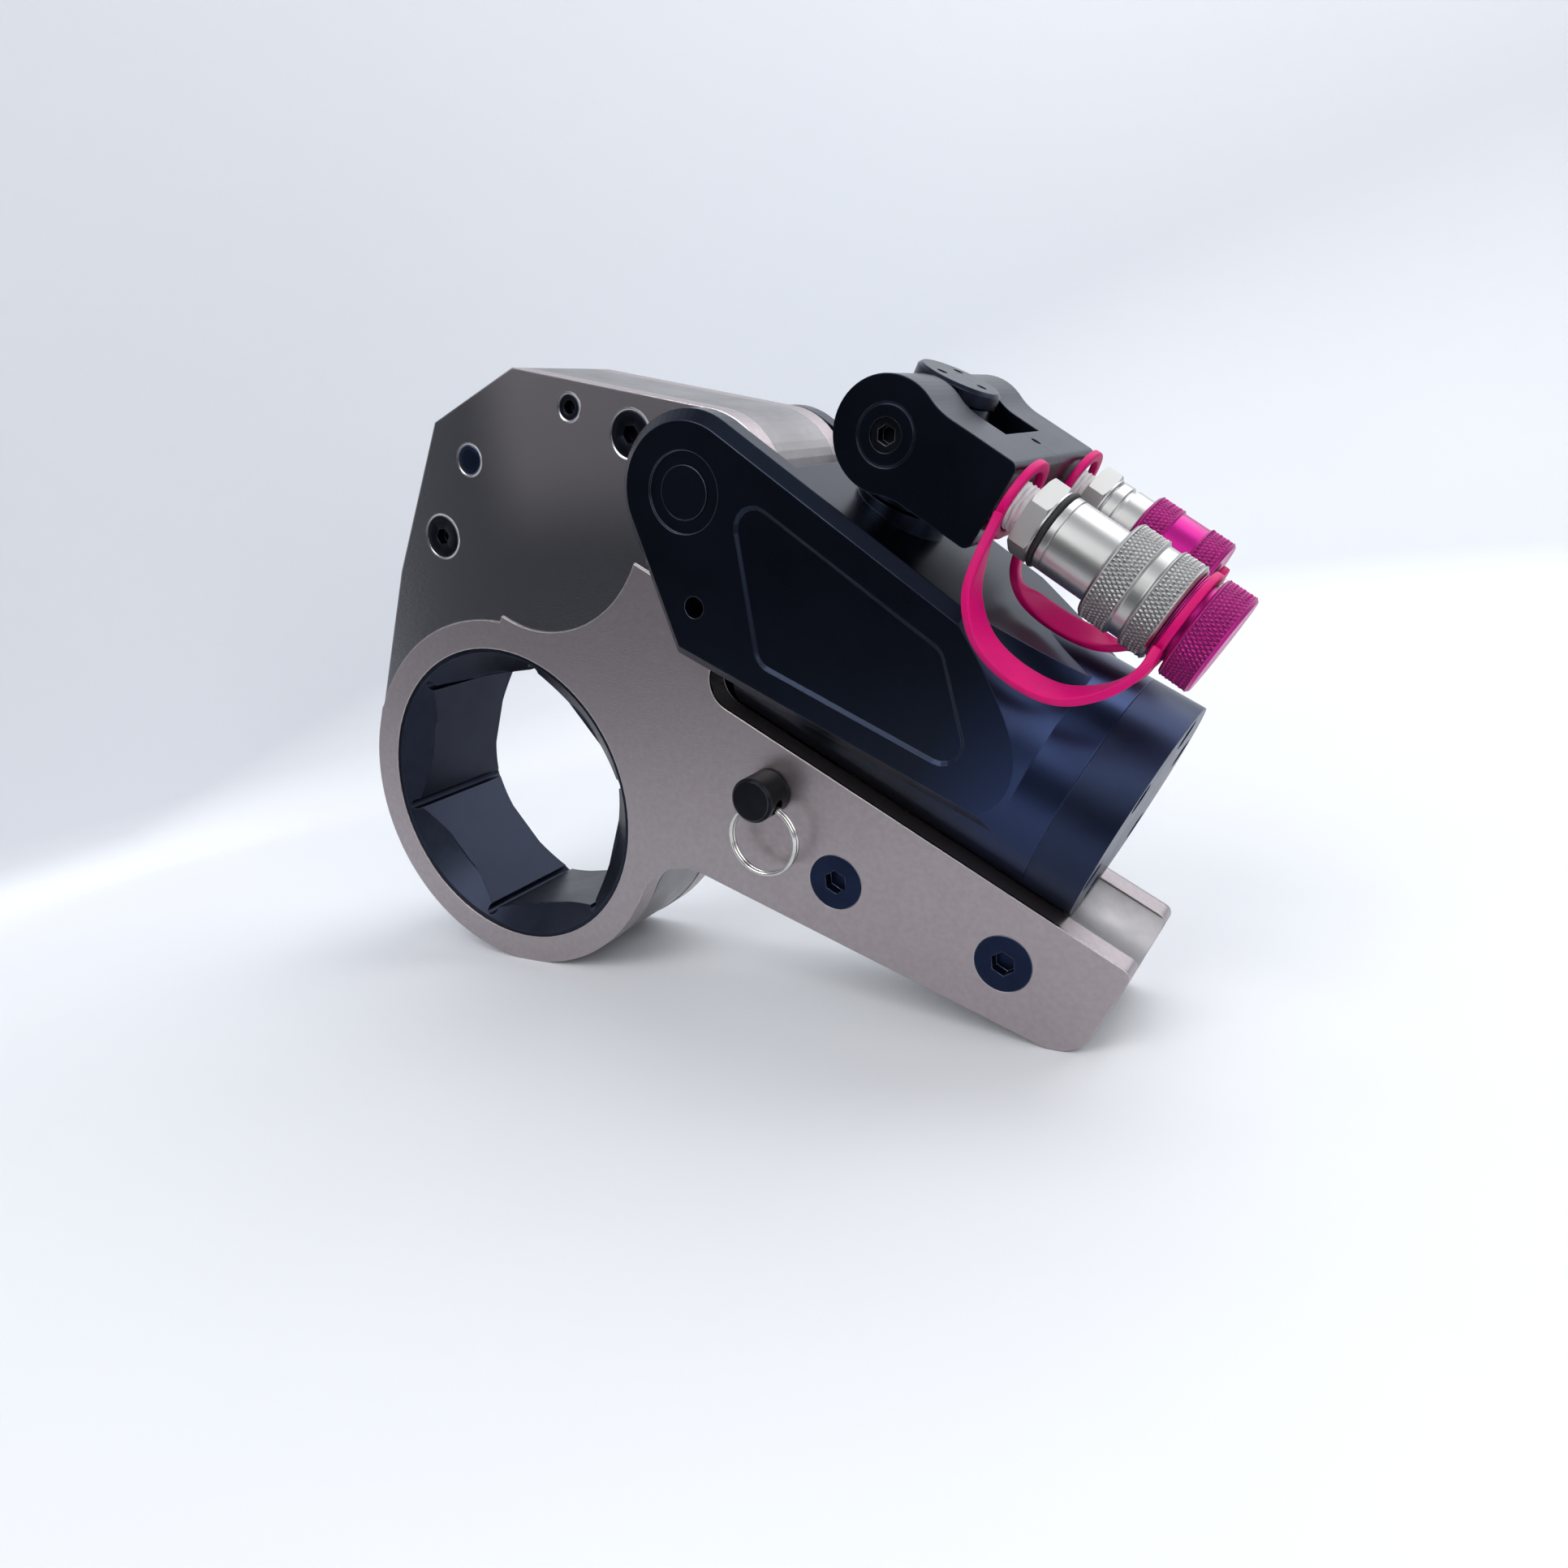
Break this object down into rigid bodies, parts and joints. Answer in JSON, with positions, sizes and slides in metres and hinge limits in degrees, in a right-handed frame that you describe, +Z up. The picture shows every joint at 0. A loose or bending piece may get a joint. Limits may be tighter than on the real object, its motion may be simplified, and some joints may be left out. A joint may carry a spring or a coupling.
{
  "type": "hydraulic torque wrench",
  "caption": "Low-profile hydraulic torque wrench: ratchet ring link with hexagon drive and reaction arm, pinned cylinder head, swivelling hose couplers with caps.",
  "frame": {"origin": "centre of the hexagon drive, midway between the side plates", "axes": "+X along the level from the ring to the foot of the reaction arm, +Y along the drive axis from the near side to the far side, +Z up from the level that ring and arm foot stand on"},
  "size_m": [0.3298, 0.0887, 0.2156],
  "materials": {
    "plate_steel": "satin nickel, fine grain",
    "block_steel": "machined satin",
    "drive_black": "black oxide, satin",
    "body_black": "black anodised, satin",
    "cap_navy": "dark blue anodised, satin",
    "screw_dark": "dark oxide, semi gloss",
    "fine_steel": "ground steel",
    "coupler_steel": "turned and plated",
    "seal_black": "matt",
    "tape_white": "matt thread tape",
    "cap_magenta": "moulded, semi gloss",
    "strap_magenta": "soft moulded"
  },
  "bodies": {
    "link": {"front_plate": "plate_steel", "rear_plate": "plate_steel", "ring_shroud": "block_steel", "head_block": "block_steel", "nose_block": "block_steel", "reaction_block": "block_steel", "arm_screws": "screw_dark", "head_screws": "screw_dark", "locating_dowel": "screw_dark", "roll_pin": "screw_dark", "power_head": "body_black", "end_cap": "cap_navy", "link_pin": "body_black", "rod_gland": "fine_steel", "rod_seal": "seal_black", "plunger_barrel": "body_black", "plunger_spring": "fine_steel", "swivel_post": "body_black"},
    "drive_ratchet": {"ratchet": "drive_black"},
    "drive_lever": {"drive_plate_front": "fine_steel", "drive_plate_rear": "fine_steel", "drive_pin": "fine_steel", "shoe_springs": "fine_steel"},
    "shoe": {"drive_shoe": "screw_dark"},
    "piston": {"piston_rod": "fine_steel", "piston_seal": "seal_black"},
    "puller": {"pull_pin": "body_black"},
    "keyring": {"key_ring": "coupler_steel"},
    "tee": {"swivel_tee": "body_black"},
    "yoke": {"yoke_near": "body_black", "yoke_far": "body_black", "pivot_screws": "body_black", "nipples": "coupler_steel", "seal_tape": "tape_white", "near_coupler": "coupler_steel", "near_o_ring": "seal_black", "far_coupler": "coupler_steel", "near_strap": "strap_magenta", "far_strap": "strap_magenta"},
    "sleeve": {"near_sleeve": "coupler_steel"},
    "cap_near": {"near_cap": "cap_magenta"},
    "cap_far": {"far_cap": "cap_magenta", "strap_screw": "coupler_steel"}
  },
  "joints": [
    {"name": "piston_stroke", "type": "slide", "parent": "link", "child": "piston", "axis": [-0.8664, 0, 0.4994], "range_m": [0, 0.04059]},
    {"name": "drive_swing", "type": "hinge", "parent": "link", "child": "drive_lever", "pos_m": [0, 0, 0], "axis": [0, -1, 0], "range_deg": [0, 20]},
    {"name": "shoe_engage", "type": "slide", "parent": "drive_lever", "child": "shoe", "axis": [-0.6423, 0, -0.7665], "range_m": [0, 0.0034], "deforming": ["shoe_springs"]},
    {"name": "ratchet_turn", "type": "hinge", "parent": "link", "child": "drive_ratchet", "pos_m": [0, 0, 0], "axis": [0, 1, 0], "continuous": true},
    {"name": "pull_pin_slide", "type": "slide", "parent": "link", "child": "puller", "axis": [0, -1, 0], "range_m": [0, 0.005], "stiffness_N_per_m": 900, "deforming": ["plunger_spring"]},
    {"name": "key_ring_swing", "type": "hinge", "parent": "puller", "child": "keyring", "pos_m": [0.11595, -0.0333, 0.00652], "axis": [1, 0, 0], "range_deg": [-85, 0]},
    {"name": "swivel_turn", "type": "hinge", "parent": "link", "child": "tee", "pos_m": [0.16931, 0, 0.11651], "axis": [0.4994, 0, 0.8664], "continuous": true, "deforming": ["near_strap", "far_strap"]},
    {"name": "yoke_tilt", "type": "hinge", "parent": "tee", "child": "yoke", "pos_m": [0.16931, 0, 0.11651], "axis": [0, -1, 0], "range_deg": [0, 165], "deforming": ["near_strap", "far_strap"]},
    {"name": "sleeve_spin", "type": "hinge", "parent": "yoke", "child": "sleeve", "pos_m": [0.17049, -0.0262, 0.11813], "axis": [0.8104, 0, -0.5858], "continuous": true},
    {"name": "near_cap_spin", "type": "hinge", "parent": "yoke", "child": "cap_near", "pos_m": [0.17049, -0.0262, 0.11813], "axis": [0.8104, 0, -0.5858], "continuous": true},
    {"name": "far_cap_spin", "type": "hinge", "parent": "yoke", "child": "cap_far", "pos_m": [0.17049, 0.0262, 0.11813], "axis": [0.8104, 0, -0.5858], "continuous": true}
  ],
  "couplings": [
    {"joint": "drive_swing", "follows": "piston_stroke", "rad_per_m": 8.5997}
  ]
}
